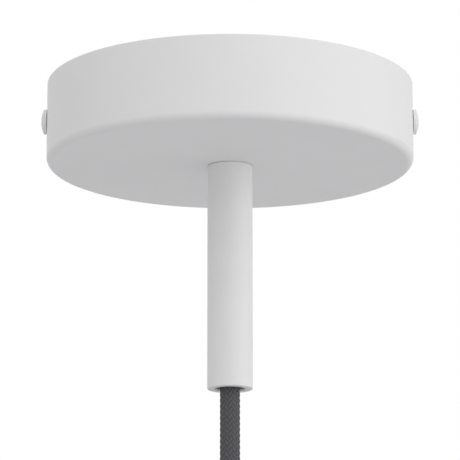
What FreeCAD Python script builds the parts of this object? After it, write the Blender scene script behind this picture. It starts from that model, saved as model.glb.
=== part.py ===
import FreeCAD, Part
import math
import os
import Sketcher
from FreeCAD import Placement, Rotation, Vector

# Electrical ceiling rose with a screwed-on cord tube
#
# A drawn steel cup hides the wiring. It hangs by two side screws from a pressed bracket, which is
# fixed to the ceiling. A hollow threaded nipple goes through the cup's floor: a lock nut holds it
# inside, a long round tube is screwed on outside, and a nylon grip on its top end takes the cord's
# weight. The cord's three cores end in a terminal block under the bracket.
#
# Millimetres. The origin is the centre of the ceiling plane, +Z points up into the ceiling, and the
# X axis runs along the bracket, through both side screws.

SIZES = (
    ("canopy_diameter", 120.0, "outside diameter of the drawn cup"),
    ("canopy_height", 27.0, "ceiling plane to the cup's closed face"),
    ("canopy_wall", 1.0, "sheet thickness of the cup"),
    ("canopy_corner", 2.2, "outside radius between wall and closed face"),
    ("canopy_rim_chamfer", 0.25, "broken outer edge of the cup's open rim"),
    ("nipple_hole_play", 0.2, "radial play of the nipple in the cup's floor"),

    ("screw_drop", 12.0, "ceiling plane down to the side screws' axis"),
    ("screw_diameter", 4.0, "thread diameter of the side screws and the earth screw"),
    ("screw_length", 8.0, "side screw under its head"),
    ("screw_head_diameter", 8.2, "side screw head"),
    ("screw_head_height", 1.9, "side screw head, from its seat to the top of its dome"),
    ("screw_head_edge", 0.8, "straight edge of the side screw head"),
    ("screw_hole_play", 0.2, "radial play of a side screw in the cup's wall"),
    ("screw_seat_gap", 0.1, "flat head against the round wall"),
    ("recess_span", 4.0, "cross recess, tip to tip"),
    ("recess_width", 0.8, "cross recess, width of each arm"),
    ("recess_depth", 1.1, "depth of the cross recess below the dome's top"),
    ("thread_play", 0.05, "radial running play of every screw thread"),
    ("thread_chamfer", 0.4, "chamfer at the end of a screw or a threaded bore"),

    ("bracket_width", 18.0, "width of the bracket's strip"),
    ("bracket_thickness", 1.5, "thickness of the bracket's strip"),
    ("bracket_bend", 1.5, "inside radius of the bracket's two bends"),
    ("bracket_wall_gap", 0.5, "corner of a bracket tab to the cup's wall"),
    ("bracket_tab_margin", 6.5, "side screw axis to the end of the tab"),
    ("bracket_tab_round", 4.0, "corner radius at the end of a tab"),
    ("bracket_hole", 10.5, "centre hole, for the supply cable"),
    ("slot_end_gap", 7.3, "outer end of a ceiling slot to the bend"),
    ("slot_block_gap", 0.5, "terminal block to the inner end of a ceiling slot"),
    ("slot_width", 4.4, "width of a ceiling slot"),
    ("collar_wall", 1.1, "wall of the drawn collars around the tapped holes"),
    ("collar_height", 1.2, "height of the drawn collars"),
    ("bracket_top_gap", 0.2, "ceiling plane to the end of a screw in the strip"),

    ("tube_diameter", 14.7, "outside diameter of the cord tube"),
    ("tube_length", 74.0, "length of the cord tube"),
    ("tube_bore", 9.3, "bore of the cord tube, the tapping size of its thread"),
    ("tube_tap_depth", 12.0, "depth of the cord tube's thread"),
    ("tube_chamfer", 0.35, "chamfer at the tube's top edge"),
    ("tube_mouth_chamfer", 0.2, "broken outer edge of the tube's mouth"),
    ("tube_bore_chamfer", 0.4, "chamfer of the bore at the mouth"),

    ("nipple_diameter", 10.0, "thread diameter of the hollow nipple"),
    ("nipple_bore", 7.4, "bore of the nipple"),
    ("nipple_length", 18.0, "length of the nipple"),
    ("nipple_reach", 9.5, "length of the nipple below the cup's closed face"),
    ("washer_diameter", 18.0, "washer on the cup's floor"),
    ("washer_thickness", 1.0, "washer on the cup's floor"),
    ("nut_flats", 14.0, "lock nut across flats"),
    ("nut_height", 3.0, "lock nut"),
    ("nut_chamfer", 0.6, "chamfer of the lock nut's corners"),

    ("grip_diameter", 14.0, "nylon cord grip"),
    ("grip_height", 9.0, "nylon cord grip"),
    ("grip_cord_play", 0.1, "radial play of the cord in the grip"),
    ("grip_flat", 6.3, "axis to the two wrench flats of the grip"),
    ("grip_screw_rise", 6.2, "grip's lower face up to its clamping screw"),
    ("grip_screw_diameter", 4.0, "thread of the clamping screw"),
    ("grip_screw_head", 6.6, "head diameter of the clamping screw"),
    ("grip_screw_head_height", 2.2, "head height of the clamping screw"),
    ("grip_screw_stand", 0.6, "clamping screw's head above the grip's flat"),

    ("block_offset", 23.5, "bracket centre to the middle of the terminal block"),
    ("block_width", 17.0, "terminal block along the wires"),
    ("block_pitch", 12.0, "distance between two poles"),
    ("block_base", 3.0, "base plate of the block"),
    ("block_height", 13.0, "block from the bracket to the ends of its towers"),
    ("block_axis", 6.2, "bracket's underside to the clamps' axis"),
    ("barrel_wall", 1.45, "plastic around each clamp"),
    ("tower_wall", 1.15, "plastic around each terminal screw"),
    ("clamp_diameter", 6.0, "brass clamp, outside"),
    ("clamp_bore", 3.4, "brass clamp, wire bore"),
    ("clamp_length", 13.0, "brass clamp"),
    ("clamp_play", 0.05, "brass clamp in its plastic barrel"),
    ("terminal_screw_inset", 3.4, "terminal screw axis to the clamp's end"),
    ("terminal_thread", 3.0, "terminal screw thread"),
    ("terminal_screw_length", 4.0, "terminal screw under its head"),
    ("terminal_head", 4.4, "terminal screw head diameter"),
    ("terminal_head_height", 1.8, "terminal screw head height"),
    ("terminal_head_play", 0.2, "radial play of a terminal screw's head in its tower"),
    ("terminal_slot_width", 0.8, "screwdriver slot of the small screws"),
    ("terminal_slot_depth", 0.9, "screwdriver slot of the small screws"),
    ("terminal_open_lift", 0.9, "how far the three free terminal screws are backed out"),
    ("block_screw_diameter", 2.5, "the two screws that hold the block"),
    ("block_screw_head", 4.5, "head of a block screw"),
    ("block_screw_head_height", 1.6, "head of a block screw"),
    ("block_screw_play", 0.15, "radial play of a block screw in the base plate"),
    ("block_screw_relief", 0.25, "room around the head of a block screw"),

    ("earth_offset", 22.0, "bracket centre to the earth screw"),
    ("earth_head", 8.0, "earth screw head"),
    ("earth_head_height", 2.6, "earth screw head"),
    ("earth_head_edge", 1.4, "straight edge of the earth screw head"),
    ("earth_washer_diameter", 9.0, "toothed earth washer, body"),
    ("earth_washer_thickness", 0.8, "toothed earth washer"),
    ("earth_tooth_count", 12, "teeth of the earth washer"),
    ("earth_tooth_depth", 0.9, "depth of the gaps between the teeth"),

    ("cord_diameter", 6.45, "textile-covered cord"),
    ("core_diameter", 2.3, "one insulated core"),
    ("core_circle", 1.4, "cord axis to the axis of each core"),
    ("core_rise", 5.3, "grip's top up to the level stretch of the cores"),
    ("core_rise_bend", 3.8, "largest bend radius of a core above the grip"),
    ("core_entry_run", 4.0, "straight stretch of a core in front of the block"),
    ("core_entry_bend", 5.0, "largest bend radius of a core in front of the block"),
    ("ferrule_diameter", 1.8, "crimped ferrule"),
    ("ferrule_length", 7.0, "crimped ferrule"),
    ("ferrule_screw_gap", 0.05, "tip of a closed terminal screw to its ferrule"),
    ("cord_start_depth", 6.0, "hanging cord's upper end above the tube's mouth"),
    ("cord_tail", 85.0, "hanging cord below the tube's mouth"),
    ("sleeve_wall", 0.45, "shrunk sleeve at the cord's end"),
    ("sleeve_play", 0.05, "sleeve against the cord"),
    ("sleeve_grip", 13.0, "length of the sleeve on the cord"),
    ("sleeve_nose", 4.0, "length of the sleeve's nose past the cord"),
    ("sleeve_nose_diameter", 6.2, "end of the sleeve's nose"),
    ("end_core_length", 28.0, "bared core at the cord's end"),
    ("end_core_straight", 8.0, "part of a bared core that still runs straight down"),
    ("end_core_splay", 9.0, "how far a bared core leans out, in degrees"),
    ("end_core_bend", 30.0, "bend radius of a bared core"),
)

doc = FreeCAD.newDocument("CeilingRose")
sheet = doc.addObject("Spreadsheet::Sheet", "Sizes")
for row, (alias, amount, meaning) in enumerate(SIZES, start=1):
    sheet.set(f"A{row}", meaning)
    sheet.set(f"B{row}", str(amount))
    sheet.setAlias(f"B{row}", alias)
doc.recompute()

POLES = ("brown", "blue", "earth")
CORE_ANGLES = {"brown": 240.0, "blue": 0.0, "earth": 120.0}
parts = []


def number(expression):
    """Value that an expression on the size sheet has now."""
    return float(sheet.evalExpression(expression))


def place(part, x="0", y="0", z="0", axis=Vector(0, 0, 1), turn=0.0):
    """Turn a part about an axis and bind its place to the size sheet."""
    part.Placement = Placement(Vector(0, 0, 0), Rotation(axis, turn))
    for letter, expression in (("x", x), ("y", y), ("z", z)):
        part.setExpression(f"Placement.Base.{letter}", expression)
    doc.recompute()


def new_body(label):
    body = doc.addObject("PartDesign::Body", label)
    body.Label = label
    parts.append(body)
    return body


def new_sketch(body, role, name, offset="0"):
    """Empty sketch on one of the body's own origin planes, lifted off it by an expression."""
    sketch = body.newObject("Sketcher::SketchObject", name)
    plane = next(item for item in body.Origin.OriginFeatures if item.Role == role)
    sketch.AttachmentSupport = [(plane, "")]
    sketch.MapMode = "FlatFace"
    sketch.setExpression("AttachmentOffset.Base.z", offset)
    return sketch


def add_outline(sketch, corners, arcs=None):
    """Closed outline. Corners are pairs of expressions. arcs gives, for the side that starts at a
    corner's number, a point that the arc passes, and one distance of its centre."""
    arcs = arcs or {}
    spots = [Vector(number(x), number(y), 0) for x, y in corners]
    sides = []
    for place_in_row, start in enumerate(spots):
        stop = spots[(place_in_row + 1) % len(spots)]
        if place_in_row in arcs:
            (via_x, via_y), kind, centre = arcs[place_in_row]
            curve = Part.Arc(start, Vector(number(via_x), number(via_y), 0), stop)
        else:
            curve = Part.LineSegment(start, stop)
        side = sketch.addGeometry(curve, False)
        first = 1 if (sketch.Geometry[side].StartPoint - start).Length < 1e-6 else 2
        sides.append((side, first, 3 - first))
        if place_in_row in arcs:
            bound = sketch.addConstraint(Sketcher.Constraint(kind, -1, 1, side, 3, number(centre)))
            sketch.setExpression(f"Constraints[{bound}]", centre)
    for (side, _, last), (following, first, _) in zip(sides, sides[1:] + sides[:1]):
        sketch.addConstraint(Sketcher.Constraint("Coincident", side, last, following, first))
    for (side, first, _), spot, (x, y) in zip(sides, spots, corners):
        for kind, amount, expression in (("DistanceX", spot.x, x), ("DistanceY", spot.y, y)):
            bound = sketch.addConstraint(Sketcher.Constraint(kind, -1, 1, side, first, amount))
            sketch.setExpression(f"Constraints[{bound}]", expression)


def add_circle(sketch, x, y, radius):
    centre = Vector(number(x), number(y), 0)
    ring = sketch.addGeometry(Part.Circle(centre, Vector(0, 0, 1), number(radius)), False)
    for kind, amount, expression in (("DistanceX", centre.x, x), ("DistanceY", centre.y, y)):
        bound = sketch.addConstraint(Sketcher.Constraint(kind, -1, 1, ring, 3, amount))
        sketch.setExpression(f"Constraints[{bound}]", expression)
    bound = sketch.addConstraint(Sketcher.Constraint("Radius", ring, number(radius)))
    sketch.setExpression(f"Constraints[{bound}]", radius)


def add_slot(sketch, x, y, length, width):
    """Slot along the sketch's X, with round ends."""
    reach = f"({length} - {width}) / 2"
    half = f"({width}) / 2"
    corners = (
        (f"{x} - {reach}", f"{y} - {half}"),
        (f"{x} + {reach}", f"{y} - {half}"),
        (f"{x} + {reach}", f"{y} + {half}"),
        (f"{x} - {reach}", f"{y} + {half}"),
    )
    ends = {
        1: ((f"{x} + ({length}) / 2", y), "DistanceX", f"{x} + {reach}"),
        3: ((f"{x} - ({length}) / 2", y), "DistanceX", f"{x} - {reach}"),
    }
    add_outline(sketch, corners, ends)


def add_box(sketch, x, y, width, height):
    corners = [(f"{x} {a} ({width}) / 2", f"{y} {b} ({height}) / 2") for a, b in ("--", "+-", "++", "-+")]
    add_outline(sketch, corners)


def grow(body, sketch, length, way="One side", backwards=False):
    """Pad a sketch, and stop if it adds nothing."""
    before = body.Shape.Volume if body.Tip else 0.0
    feature = body.newObject("PartDesign::Pad", "Pad")
    feature.Profile = sketch
    feature.SideType = way
    feature.Reversed = backwards
    feature.setExpression("Length", length)
    doc.recompute()
    if body.Shape.Volume <= before:
        raise ValueError(f"a pad adds nothing to {body.Label}")


def cut(body, sketch, depth=None, backwards=False):
    """Pocket a sketch, right through both ways when no depth is given, and stop if nothing goes."""
    before = body.Shape.Volume
    feature = body.newObject("PartDesign::Pocket", "Pocket")
    feature.Profile = sketch
    if depth is None:
        feature.SideType = "Symmetric"
        feature.Type = "ThroughAll"
    else:
        feature.Type = "Length"
        feature.Reversed = backwards
        feature.setExpression("Length", depth)
    doc.recompute()
    if body.Shape.Volume >= before:
        raise ValueError(f"a pocket cuts nothing from {body.Label}")
    return feature


def turned(label, corners, arcs=None):
    """Body turned about its Z axis from an outline of (radius, height) corners."""
    body = new_body(label)
    sketch = new_sketch(body, "XZ_Plane", "Profile")
    add_outline(sketch, corners, arcs)
    feature = body.newObject("PartDesign::Revolution", "Turn")
    feature.Profile = sketch
    feature.ReferenceAxis = (sketch, ["V_Axis"])
    feature.Angle = 360.0
    doc.recompute()
    return body


def soften(body, kind, size, wanted):
    """Fillet or chamfer the edges of a body whose every sampled point passes a test."""
    base = body.Tip
    names = []
    for count, edge in enumerate(base.Shape.Edges, start=1):
        if all(wanted(point) for point in edge.discretize(7)):
            names.append(f"Edge{count}")
    if not names:
        raise ValueError(f"no edge found on {body.Label}")
    feature = body.newObject(f"PartDesign::{kind}", kind)
    feature.Base = (base, names)
    feature.setExpression("Radius" if kind == "Fillet" else "Size", size)
    doc.recompute()


def near(amount, expression):
    return abs(amount - number(expression)) < 1e-3


def ring_at(radius, height):
    """Test for points on one circle about the Z axis."""
    return lambda point: near(math.hypot(point.x, point.y), radius) and near(point.z, height)


# Canopy cup
# Drawn and pierced from one disc of sheet steel, open towards the ceiling.

CANOPY_RADIUS = "Sizes.canopy_diameter / 2"
CUP_INSIDE = "(Sizes.canopy_diameter / 2 - Sizes.canopy_wall)"
CUP_FLOOR = "(Sizes.canopy_wall - Sizes.canopy_height)"

canopy = turned("canopy_cup", (
    ("Sizes.nipple_diameter / 2 + Sizes.nipple_hole_play", "-Sizes.canopy_height"),
    (CANOPY_RADIUS, "-Sizes.canopy_height"),
    (CANOPY_RADIUS, "0"),
    (CUP_INSIDE, "0"),
    (CUP_INSIDE, CUP_FLOOR),
    ("Sizes.nipple_diameter / 2 + Sizes.nipple_hole_play", CUP_FLOOR),
))
soften(canopy, "Fillet", "Sizes.canopy_corner", ring_at(CANOPY_RADIUS, "-Sizes.canopy_height"))
soften(canopy, "Fillet", "Sizes.canopy_corner - Sizes.canopy_wall", ring_at(CUP_INSIDE, CUP_FLOOR))
soften(canopy, "Chamfer", "Sizes.canopy_rim_chamfer", ring_at(CANOPY_RADIUS, "0"))
side_holes = new_sketch(canopy, "YZ_Plane", "SideHoles")
add_circle(side_holes, "0", "-Sizes.screw_drop", "Sizes.screw_diameter / 2 + Sizes.screw_hole_play")
cut(canopy, side_holes)


# Ceiling bracket
# Galvanised strip with both ends bent down. The tapped holes have drawn collars, on the inside of
# the tabs and under the strip. Two slots take the ceiling screws.

UNDERSIDE = "(-Sizes.bracket_thickness)"
TAB_OUTSIDE = (
    "(sqrt((Sizes.canopy_diameter / 2 - Sizes.canopy_wall)^2 - (Sizes.bracket_width / 2)^2)"
    " - Sizes.bracket_wall_gap)"
)
TAB_INSIDE = f"({TAB_OUTSIDE} - Sizes.bracket_thickness)"
TAB_END = "(-Sizes.screw_drop - Sizes.bracket_tab_margin)"
SLOT_INNER = "(Sizes.block_offset + Sizes.block_width / 2 + Sizes.slot_block_gap)"
SLOT_OUTER = f"({TAB_INSIDE} - Sizes.bracket_bend - Sizes.slot_end_gap)"
SCREW_BORE = "Sizes.screw_diameter / 2 + Sizes.thread_play"
COLLAR_RADIUS = f"{SCREW_BORE} + Sizes.collar_wall"

bracket = new_body("ceiling_bracket")
strip = new_sketch(bracket, "XZ_Plane", "StripSide")
add_outline(strip, (
    (f"-{TAB_OUTSIDE}", TAB_END),
    (f"-{TAB_INSIDE}", TAB_END),
    (f"-{TAB_INSIDE}", UNDERSIDE),
    (TAB_INSIDE, UNDERSIDE),
    (TAB_INSIDE, TAB_END),
    (TAB_OUTSIDE, TAB_END),
    (TAB_OUTSIDE, "0"),
    (f"-{TAB_OUTSIDE}", "0"),
))
grow(bracket, strip, "Sizes.bracket_width", way="Symmetric")
soften(bracket, "Fillet", "Sizes.bracket_bend",
       lambda point: near(abs(point.x), TAB_INSIDE) and near(point.z, UNDERSIDE))
soften(bracket, "Fillet", "Sizes.bracket_bend + Sizes.bracket_thickness",
       lambda point: near(abs(point.x), TAB_OUTSIDE) and near(point.z, "0"))
soften(bracket, "Fillet", "Sizes.bracket_tab_round",
       lambda point: near(abs(point.y), "Sizes.bracket_width / 2") and near(point.z, TAB_END)
       and abs(point.x) > number(TAB_INSIDE) - 1e-3)

for name, side, backwards in (("RightCollar", "", True), ("LeftCollar", "-", False)):
    collar = new_sketch(bracket, "YZ_Plane", name, offset=f"{side}{TAB_INSIDE}")
    add_circle(collar, "0", "-Sizes.screw_drop", COLLAR_RADIUS)
    grow(bracket, collar, "Sizes.collar_height", backwards=backwards)
earth_collar = new_sketch(bracket, "XY_Plane", "EarthCollar", offset=UNDERSIDE)
add_circle(earth_collar, "-Sizes.earth_offset", "0", COLLAR_RADIUS)
grow(bracket, earth_collar, "Sizes.collar_height", backwards=True)

tab_taps = new_sketch(bracket, "YZ_Plane", "TabTaps")
add_circle(tab_taps, "0", "-Sizes.screw_drop", SCREW_BORE)
cut(bracket, tab_taps)
strip_holes = new_sketch(bracket, "XY_Plane", "StripHoles")
add_circle(strip_holes, "0", "0", "Sizes.bracket_hole / 2")
add_circle(strip_holes, "-Sizes.earth_offset", "0", SCREW_BORE)
for side in ("-", ""):
    add_slot(strip_holes, f"{side}({SLOT_INNER} + {SLOT_OUTER}) / 2", "0",
             f"{SLOT_OUTER} - {SLOT_INNER}", "Sizes.slot_width")
    add_circle(strip_holes, "Sizes.block_offset", f"{side}Sizes.block_pitch / 2",
               "Sizes.block_screw_diameter / 2 + Sizes.thread_play")
cut(bracket, strip_holes)


# Screws
# Each is turned about its own Z axis, with the seat of its head at zero and its shank below.

def screw(label, thread, length, head, head_height, head_edge):
    """Screw with a domed head, or with a flat one when its edge is as high as the head."""
    corners = [
        ("0", f"-({length})"),
        (f"{thread} / 2 - Sizes.thread_chamfer", f"-({length})"),
        (f"{thread} / 2", f"Sizes.thread_chamfer - ({length})"),
        (f"{thread} / 2", "0"),
        (f"{head} / 2", "0"),
        (f"{head} / 2", head_edge),
        ("0", head_height),
    ]
    if head_edge == head_height:
        corners[5:6] = [
            (f"{head} / 2", f"{head_height} - Sizes.thread_chamfer / 2"),
            (f"{head} / 2 - Sizes.thread_chamfer / 2", head_height),
        ]
        return turned(label, corners)
    rise = f"({head_height} - {head_edge})"
    dome = f"(({head} / 2)^2 + {rise}^2) / (2 * {rise})"
    via = (f"{head} / 4", f"{head_height} - {dome} + sqrt(({dome})^2 - ({head} / 4)^2)")
    return turned(label, corners, {5: (via, "DistanceX", "0")})


def cross_recess(body, head_height):
    span, width = "Sizes.recess_span / 2", "Sizes.recess_width / 2"
    corners = (
        (f"-{span}", f"-{width}"), (f"-{width}", f"-{width}"), (f"-{width}", f"-{span}"),
        (width, f"-{span}"), (width, f"-{width}"), (span, f"-{width}"),
        (span, width), (width, width), (width, span),
        (f"-{width}", span), (f"-{width}", width), (f"-{span}", width),
    )
    recess = new_sketch(body, "XY_Plane", "Recess", offset=head_height)
    add_outline(recess, corners)
    cut(body, recess, "Sizes.recess_depth")


def driver_slot(body, head, head_height):
    recess = new_sketch(body, "XY_Plane", "DriverSlot", offset=head_height)
    add_box(recess, "0", "0", f"{head} + 1", "Sizes.terminal_slot_width")
    cut(body, recess, "Sizes.terminal_slot_depth")


for name, side, turn in (("right", "", 90.0), ("left", "-", -90.0)):
    side_screw = screw(f"side_screw_{name}", "Sizes.screw_diameter", "Sizes.screw_length",
                       "Sizes.screw_head_diameter", "Sizes.screw_head_height", "Sizes.screw_head_edge")
    cross_recess(side_screw, "Sizes.screw_head_height")
    place(side_screw, x=f"{side}({CANOPY_RADIUS} + Sizes.screw_seat_gap)", z="-Sizes.screw_drop",
          axis=Vector(0, 1, 0), turn=turn)


# Cord tube
# Turned from round bar, bored right through and tapped at its top end. It hangs on the nipple and
# its top face meets the cup's closed face.

TUBE_TOP = "(-Sizes.canopy_height)"
TUBE_MOUTH = "(-Sizes.canopy_height - Sizes.tube_length)"
TUBE_RADIUS = "Sizes.tube_diameter / 2"
TAP_RADIUS = "(Sizes.nipple_diameter / 2 + Sizes.thread_play)"
TAP_END = f"({TUBE_TOP} - Sizes.tube_tap_depth)"

cord_tube = turned("cord_tube", (
    (TAP_RADIUS, TUBE_TOP),
    (TUBE_RADIUS, TUBE_TOP),
    (TUBE_RADIUS, TUBE_MOUTH),
    ("Sizes.tube_bore / 2", TUBE_MOUTH),
    ("Sizes.tube_bore / 2", f"{TAP_END} - ({TAP_RADIUS} - Sizes.tube_bore / 2)"),
    (TAP_RADIUS, TAP_END),
))
soften(cord_tube, "Chamfer", "Sizes.tube_mouth_chamfer", ring_at(TUBE_RADIUS, TUBE_MOUTH))
soften(cord_tube, "Chamfer", "Sizes.tube_bore_chamfer", ring_at("Sizes.tube_bore / 2", TUBE_MOUTH))
soften(cord_tube, "Chamfer", "Sizes.tube_chamfer", ring_at(TUBE_RADIUS, TUBE_TOP))


# Threaded nipple, washer and lock nut

NIPPLE_END = "(-Sizes.canopy_height - Sizes.nipple_reach)"
NIPPLE_TOP = f"({NIPPLE_END} + Sizes.nipple_length)"
NIPPLE_RADIUS = "Sizes.nipple_diameter / 2"
NUT_SEAT = f"({CUP_FLOOR} + Sizes.washer_thickness)"
NUT_TOP = f"({NUT_SEAT} + Sizes.nut_height)"

nipple = turned("threaded_nipple", (
    ("Sizes.nipple_bore / 2", NIPPLE_END),
    (f"{NIPPLE_RADIUS} - Sizes.thread_chamfer", NIPPLE_END),
    (NIPPLE_RADIUS, f"{NIPPLE_END} + Sizes.thread_chamfer"),
    (NIPPLE_RADIUS, f"{NIPPLE_TOP} - Sizes.thread_chamfer"),
    (f"{NIPPLE_RADIUS} - Sizes.thread_chamfer", NIPPLE_TOP),
    ("Sizes.nipple_bore / 2", NIPPLE_TOP),
))

washer = turned("floor_washer", (
    (f"{NIPPLE_RADIUS} + Sizes.nipple_hole_play", CUP_FLOOR),
    ("Sizes.washer_diameter / 2", CUP_FLOOR),
    ("Sizes.washer_diameter / 2", NUT_SEAT),
    (f"{NIPPLE_RADIUS} + Sizes.nipple_hole_play", NUT_SEAT),
))

NUT_CORNER = "Sizes.nut_flats / sqrt(3)"
lock_nut = turned("lock_nut", (
    (TAP_RADIUS, NUT_SEAT),
    ("Sizes.nut_flats / 2", NUT_SEAT),
    (NUT_CORNER, f"{NUT_SEAT} + Sizes.nut_chamfer"),
    (NUT_CORNER, f"{NUT_TOP} - Sizes.nut_chamfer"),
    ("Sizes.nut_flats / 2", NUT_TOP),
    (TAP_RADIUS, NUT_TOP),
))
around_flats = new_sketch(lock_nut, "XY_Plane", "AroundFlats", offset=NUT_SEAT)
add_circle(around_flats, "0", "0", "Sizes.nut_flats")
add_outline(around_flats, [
    (f"{NUT_CORNER} * cos({angle})", f"{NUT_CORNER} * sin({angle})") for angle in range(0, 360, 60)
])
cut(lock_nut, around_flats)


# Cord grip
# Nylon sleeve screwed down onto the nipple's top end. A flat-ended screw clamps the cord in it.

GRIP_TOP = f"({NUT_TOP} + Sizes.grip_height)"
GRIP_BORE = "(Sizes.cord_diameter / 2 + Sizes.grip_cord_play)"
GRIP_SCREW_HEIGHT = f"({NUT_TOP} + Sizes.grip_screw_rise)"

grip = turned("cord_grip", (
    (TAP_RADIUS, NUT_TOP),
    ("Sizes.grip_diameter / 2", NUT_TOP),
    ("Sizes.grip_diameter / 2", f"{GRIP_TOP} - 2 * Sizes.thread_chamfer"),
    ("Sizes.grip_diameter / 2 - 2 * Sizes.thread_chamfer", GRIP_TOP),
    (GRIP_BORE, GRIP_TOP),
    (GRIP_BORE, NIPPLE_TOP),
    (TAP_RADIUS, NIPPLE_TOP),
))
flats = new_sketch(grip, "XY_Plane", "WrenchFlats", offset=NUT_TOP)
for side in ("-", ""):
    add_box(flats, "0", f"{side}Sizes.grip_diameter / 2", "Sizes.grip_diameter",
            "Sizes.grip_diameter - 2 * Sizes.grip_flat")
cut(grip, flats)
grip_tap = new_sketch(grip, "XZ_Plane", "ClampTap")
add_circle(grip_tap, "0", GRIP_SCREW_HEIGHT, "Sizes.grip_screw_diameter / 2 + Sizes.thread_play")
cut(grip, grip_tap, "Sizes.grip_diameter", backwards=True)

grip_screw = screw("cord_grip_screw", "Sizes.grip_screw_diameter",
                   f"Sizes.grip_flat + Sizes.grip_screw_stand - {GRIP_BORE}",
                   "Sizes.grip_screw_head", "Sizes.grip_screw_head_height", "Sizes.grip_screw_head_height")
driver_slot(grip_screw, "Sizes.grip_screw_head", "Sizes.grip_screw_head_height")
place(grip_screw, y="-(Sizes.grip_flat + Sizes.grip_screw_stand)", z=GRIP_SCREW_HEIGHT,
      axis=Vector(1, 0, 0), turn=90.0)


# Terminal block
# One nylon moulding: a base plate, an arched barrel for each pole across it, and two towers on each
# barrel for the terminal screws. It stands on the bracket's underside, upside down.

POLE_Y = {"brown": "-Sizes.block_pitch", "blue": "0", "earth": "Sizes.block_pitch"}
CLAMP_AXIS = f"({UNDERSIDE} - Sizes.block_axis)"
BARREL_RADIUS = "(Sizes.clamp_diameter / 2 + Sizes.barrel_wall)"
TOWER_RADIUS = "(Sizes.terminal_head / 2 + Sizes.terminal_head_play + Sizes.tower_wall)"
BLOCK_END = f"({UNDERSIDE} - Sizes.block_height)"
BLOCK_BASE = f"({UNDERSIDE} - Sizes.block_base)"
SCREW_STEP = "(Sizes.clamp_length / 2 - Sizes.terminal_screw_inset)"
CORD_SIDE_X = f"(Sizes.block_offset - {SCREW_STEP})"
MAINS_SIDE_X = f"(Sizes.block_offset + {SCREW_STEP})"
TERMINAL_X = {"cord": CORD_SIDE_X, "mains": MAINS_SIDE_X}

block = new_body("terminal_block")
base = new_sketch(block, "XY_Plane", "BasePlate", offset=UNDERSIDE)
add_box(base, "Sizes.block_offset", "0", "Sizes.block_width",
        f"2 * Sizes.block_pitch + 2 * {BARREL_RADIUS}")
grow(block, base, "Sizes.block_base", backwards=True)
barrels = new_sketch(block, "YZ_Plane", "Barrels", offset="Sizes.block_offset")
for pole in POLES:
    y = POLE_Y[pole]
    add_outline(barrels, (
        (f"{y} - {BARREL_RADIUS}", CLAMP_AXIS),
        (f"{y} + {BARREL_RADIUS}", CLAMP_AXIS),
        (f"{y} + {BARREL_RADIUS}", UNDERSIDE),
        (f"{y} - {BARREL_RADIUS}", UNDERSIDE),
    ), {0: ((y, f"{CLAMP_AXIS} - {BARREL_RADIUS}"), "DistanceY", CLAMP_AXIS)})
grow(block, barrels, "Sizes.block_width", way="Symmetric")
towers = new_sketch(block, "XY_Plane", "Towers", offset=BLOCK_END)
wells = new_sketch(block, "XY_Plane", "Wells", offset=BLOCK_END)
for pole in POLES:
    for x in TERMINAL_X.values():
        add_circle(towers, x, POLE_Y[pole], TOWER_RADIUS)
        add_circle(wells, x, POLE_Y[pole], "Sizes.terminal_head / 2 + Sizes.terminal_head_play")
grow(block, towers, "Sizes.block_height - Sizes.block_axis")
cut(block, wells, "Sizes.block_height - Sizes.block_axis", backwards=True)
wire_holes = new_sketch(block, "YZ_Plane", "WireHoles")
for pole in POLES:
    add_circle(wire_holes, POLE_Y[pole], CLAMP_AXIS, "Sizes.clamp_diameter / 2 + Sizes.clamp_play")
cut(block, wire_holes)
head_relief = new_sketch(block, "XY_Plane", "HeadRelief", offset=BLOCK_BASE)
screw_holes = new_sketch(block, "XY_Plane", "BlockScrewHoles")
for side in ("-", ""):
    add_circle(head_relief, "Sizes.block_offset", f"{side}Sizes.block_pitch / 2",
               "Sizes.block_screw_head / 2 + Sizes.block_screw_relief")
    add_circle(screw_holes, "Sizes.block_offset", f"{side}Sizes.block_pitch / 2",
               "Sizes.block_screw_diameter / 2 + Sizes.block_screw_play")
cut(block, head_relief, "Sizes.block_height")
cut(block, screw_holes)

for pole in POLES:
    clamp = turned(f"terminal_clamp_{pole}", (
        ("Sizes.clamp_bore / 2", "-Sizes.clamp_length / 2"),
        ("Sizes.clamp_diameter / 2", "-Sizes.clamp_length / 2"),
        ("Sizes.clamp_diameter / 2", "Sizes.clamp_length / 2"),
        ("Sizes.clamp_bore / 2", "Sizes.clamp_length / 2"),
    ))
    taps = new_sketch(clamp, "YZ_Plane", "ScrewTaps")
    for way in ("", "-"):
        add_circle(taps, "0", f"{way}{SCREW_STEP}", "Sizes.terminal_thread / 2 + Sizes.thread_play")
    cut(clamp, taps, "Sizes.clamp_diameter", backwards=True)
    place(clamp, x="Sizes.block_offset", y=POLE_Y[pole], z=CLAMP_AXIS, axis=Vector(0, 1, 0), turn=90.0)

CLOSED_TIP = f"({CLAMP_AXIS} - Sizes.ferrule_diameter / 2 - Sizes.ferrule_screw_gap)"
for pole in POLES:
    for side, lift in (("cord", "0"), ("mains", "Sizes.terminal_open_lift")):
        terminal = screw(f"terminal_screw_{pole}_{side}", "Sizes.terminal_thread",
                         "Sizes.terminal_screw_length", "Sizes.terminal_head",
                         "Sizes.terminal_head_height", "Sizes.terminal_head_height")
        driver_slot(terminal, "Sizes.terminal_head", "Sizes.terminal_head_height")
        place(terminal, x=TERMINAL_X[side], y=POLE_Y[pole],
              z=f"{CLOSED_TIP} - Sizes.terminal_screw_length - {lift}", axis=Vector(1, 0, 0), turn=180.0)

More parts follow.
